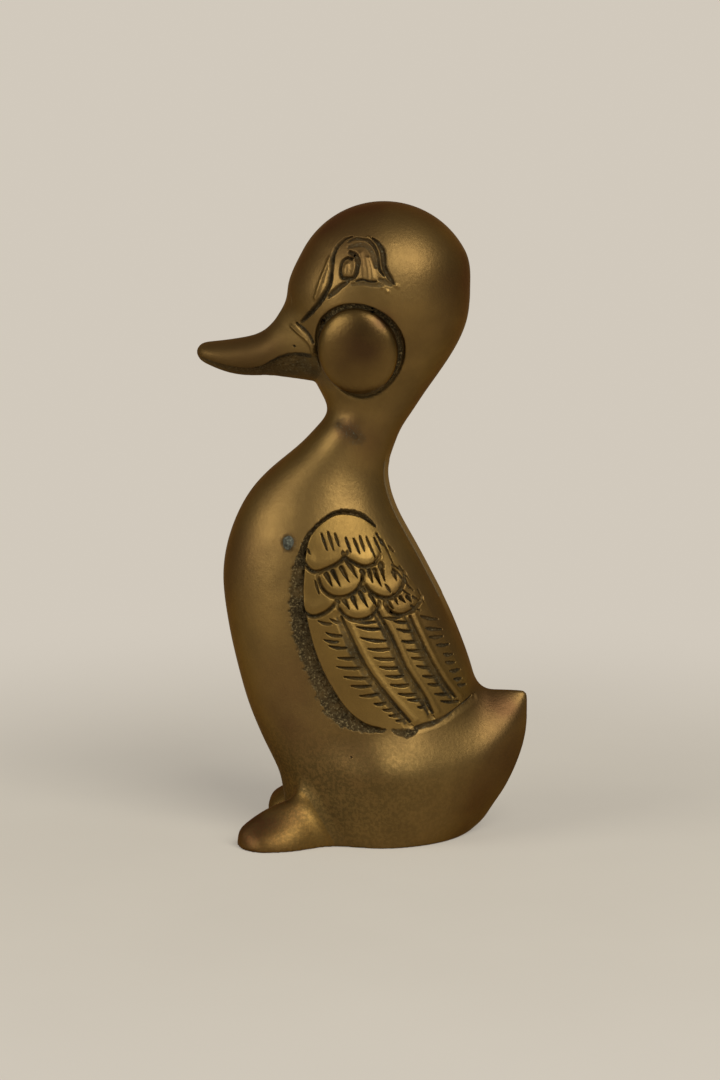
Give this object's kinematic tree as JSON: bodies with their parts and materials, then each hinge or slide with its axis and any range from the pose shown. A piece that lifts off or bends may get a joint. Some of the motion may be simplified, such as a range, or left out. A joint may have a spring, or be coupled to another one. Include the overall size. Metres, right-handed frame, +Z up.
{
  "type": "duck figurine",
  "caption": "Standing brass duckling figurine with a round head, flat bill, domed cheeks, cut folded wings, short upturned tail and splayed feet.",
  "frame": {"origin": "on the floor, under the middle of the overall length and width", "axes": "+Z up, -X towards the bill, +X towards the tail, -Y to the duck's left side"},
  "size_m": [0.0787, 0.0518, 0.15],
  "materials": {
    "brass_body": "dressed and rubbed cast brass, olive-gold tarnish, satin",
    "brass_braze": "braze metal dressed flush with the casting",
    "brass_bill": "cast brass, darker brown tarnish, rubbed bright along the top",
    "brass_cheek": "polished domed brass, satin, dark grime at the foot of the dome",
    "brass_wing": "hand-cut brass, rubbed bright on the lands and dark in the cuts",
    "brass_foot": "cast brass with reddish-brown tarnish, satin",
    "solder": null
  },
  "bodies": {
    "root": {"left_body_half": "brass_body", "right_body_half": "brass_body", "braze_seam": "brass_braze", "bill": "brass_bill", "left_cheek": "brass_cheek", "right_cheek": "brass_cheek", "left_wing": "brass_wing", "right_wing": "brass_wing", "left_foot": "brass_foot", "right_foot": "brass_foot", "vent_plug": "solder"}
  },
  "joints": []
}
